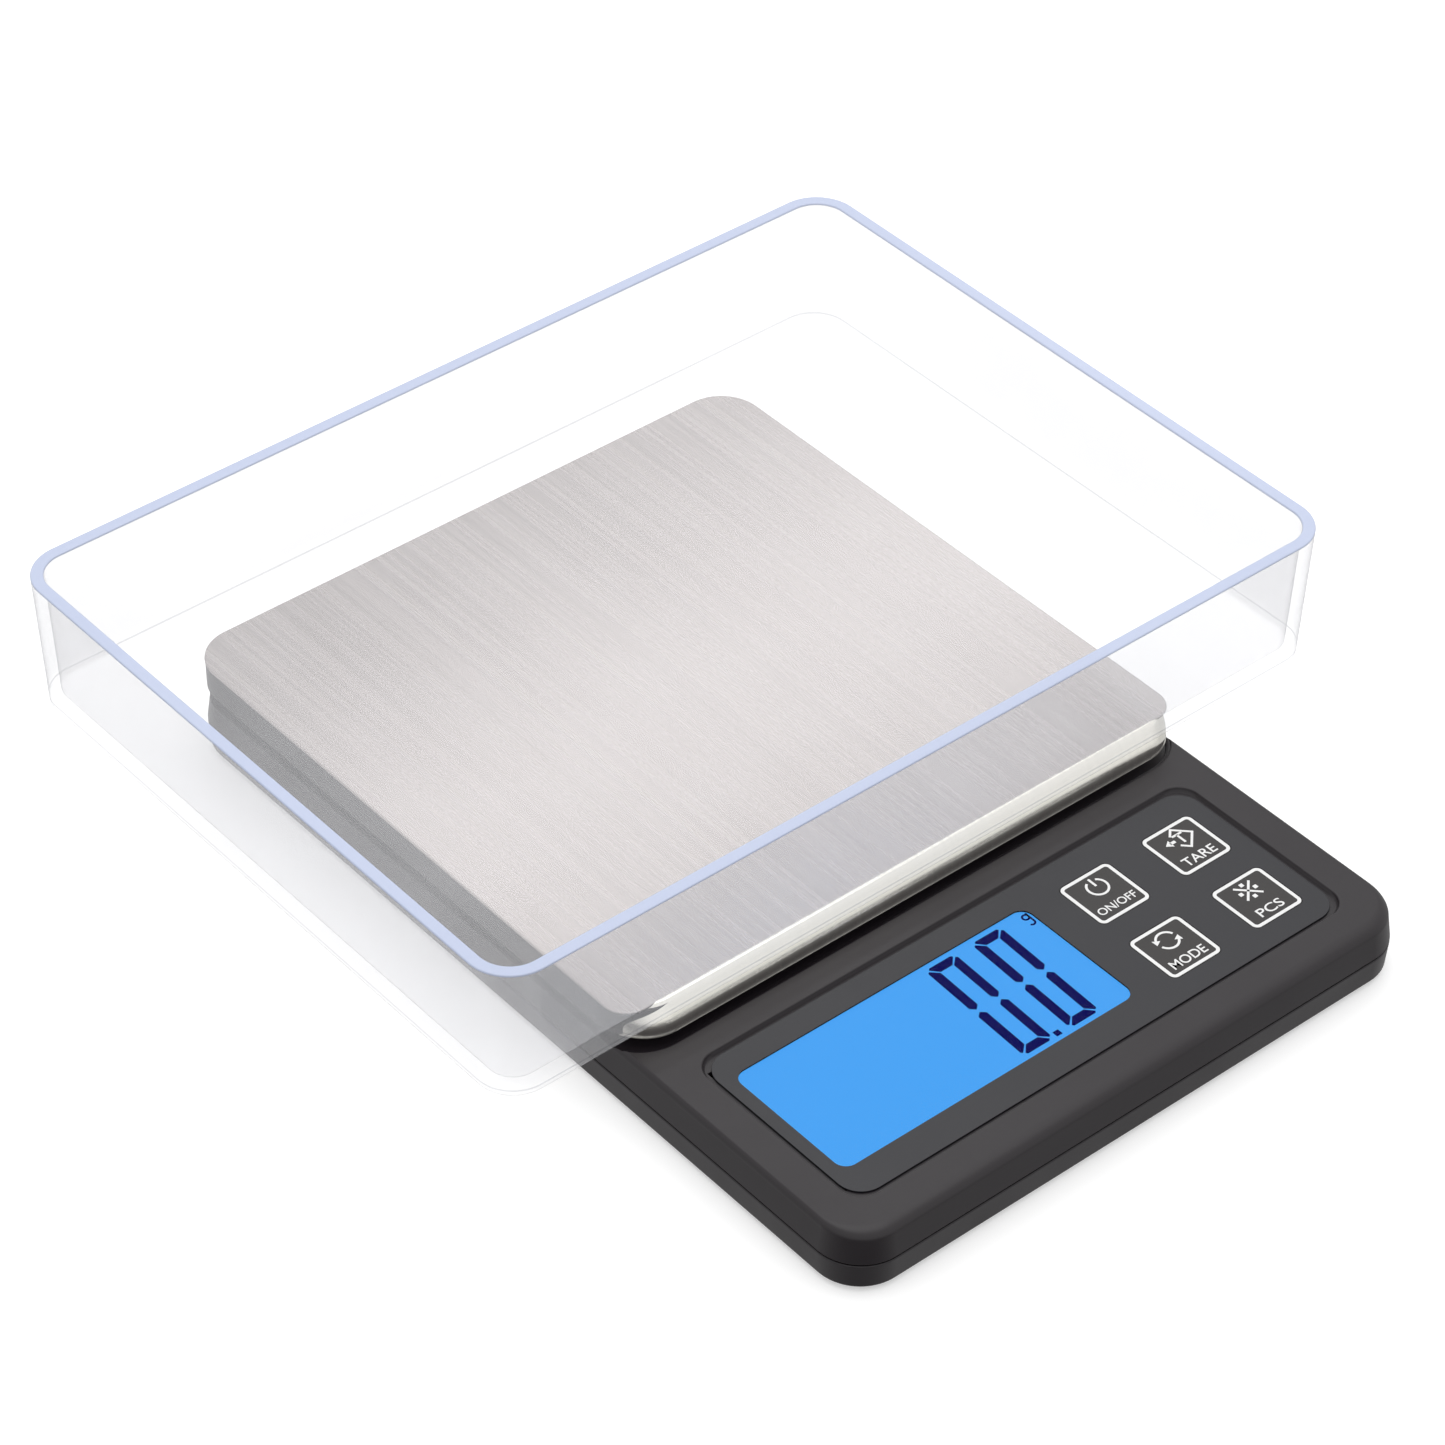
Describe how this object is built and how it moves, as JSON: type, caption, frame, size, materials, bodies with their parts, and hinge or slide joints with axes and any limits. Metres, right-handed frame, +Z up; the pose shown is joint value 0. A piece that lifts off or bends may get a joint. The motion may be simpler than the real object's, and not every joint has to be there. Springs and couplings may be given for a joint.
{
  "type": "digital gram scale",
  "caption": "Low digital gram scale with a display and keys in front, a square brushed steel platform and a clear open tray resting on it.",
  "frame": {"origin": "on the table, under the middle of the whole object's box, and of the housing's width to 0.7 mm", "axes": "+X to the user's right, +Y from the front panel to the back, +Z up"},
  "size_m": [0.1756, 0.1806, 0.0459],
  "materials": {
    "black_abs": "fine satin",
    "overlay_film": "satin printed film",
    "key_film": "satin printed film",
    "stainless": "brushed front to back, polished rim",
    "clear_plastic": "clear polystyrene, gloss",
    "grey_plastic": "matte",
    "aluminium": "machined",
    "zinc_steel": "zinc plated",
    "nickel_steel": "nickel plated",
    "circuit_board": "solder mask",
    "epoxy": "gloss",
    "lcd_glass": "backlit glass",
    "light_guide": "translucent",
    "silicone": "matte",
    "foot_rubber": "matte",
    "stem_plastic": "matte",
    "cell_sleeve": "printed sleeve",
    "red_wire": "satin",
    "black_wire": "satin",
    "grey_wire": "satin"
  },
  "bodies": {
    "housing": {"aaa_cell_1": "cell_sleeve", "aaa_cell_2": "cell_sleeve", "backlight_guide": "light_guide", "board_screw_1": "zinc_steel", "board_screw_2": "zinc_steel", "board_screw_3": "zinc_steel", "cell_link_plate": "nickel_steel", "cell_spring_1": "nickel_steel", "cell_spring_2": "nickel_steel", "chip_cover": "epoxy", "count_switch": "grey_plastic", "housing_screw_1": "zinc_steel", "housing_screw_2": "zinc_steel", "housing_screw_3": "zinc_steel", "housing_screw_4": "zinc_steel", "lcd_contact_strip": "silicone", "lcd_glass": "lcd_glass", "lcd_holder": "grey_plastic", "load_cell": "aluminium", "load_cell_cable": "grey_wire", "load_cell_fixed_screw_1": "zinc_steel", "load_cell_fixed_screw_2": "zinc_steel", "lower_housing": "black_abs", "main_board": "circuit_board", "mode_switch": "grey_plastic", "negative_contact": "nickel_steel", "negative_lead": "black_wire", "panel_overlay": "overlay_film", "positive_contact": "nickel_steel", "positive_lead": "red_wire", "power_switch": "grey_plastic", "rubber_foot_1": "foot_rubber", "rubber_foot_2": "foot_rubber", "rubber_foot_3": "foot_rubber", "rubber_foot_4": "foot_rubber", "strain_gauge_cover": "silicone", "tare_switch": "grey_plastic", "upper_housing": "black_abs"},
    "platform": {"platform_plate": "stainless", "platform_carrier": "grey_plastic", "load_cell_free_screw_1": "zinc_steel", "load_cell_free_screw_2": "zinc_steel"},
    "tray": {"weighing_tray": "clear_plastic"},
    "battery_cover": {"battery_door": "black_abs"},
    "power_button": {"power_key": "key_film", "power_plunger": "stem_plastic"},
    "tare_button": {"tare_key": "key_film", "tare_plunger": "stem_plastic"},
    "mode_button": {"mode_key": "key_film", "mode_plunger": "stem_plastic"},
    "count_button": {"count_key": "key_film", "count_plunger": "stem_plastic"}
  },
  "joints": [
    {"name": "platform_load", "type": "slide", "parent": "housing", "child": "platform", "axis": [0, 0, -1], "range_m": [0, 0.0005], "stiffness_N_per_m": 60000, "deforming": ["load_cell"]},
    {"name": "tray_lift", "type": "slide", "parent": "platform", "child": "tray", "axis": [0, 0, 1], "range_m": [0, 0.06]},
    {"name": "battery_cover_slide", "type": "slide", "parent": "housing", "child": "battery_cover", "axis": [0, 1, 0], "range_m": [0, 0.034]},
    {"name": "power_press", "type": "slide", "parent": "housing", "child": "power_button", "axis": [0, 0, -1], "range_m": [0, 0.00025], "stiffness_N_per_m": 6400},
    {"name": "tare_press", "type": "slide", "parent": "housing", "child": "tare_button", "axis": [0, 0, -1], "range_m": [0, 0.00025], "stiffness_N_per_m": 6400},
    {"name": "mode_press", "type": "slide", "parent": "housing", "child": "mode_button", "axis": [0, 0, -1], "range_m": [0, 0.00025], "stiffness_N_per_m": 6400},
    {"name": "count_press", "type": "slide", "parent": "housing", "child": "count_button", "axis": [0, 0, -1], "range_m": [0, 0.00025], "stiffness_N_per_m": 6400}
  ]
}
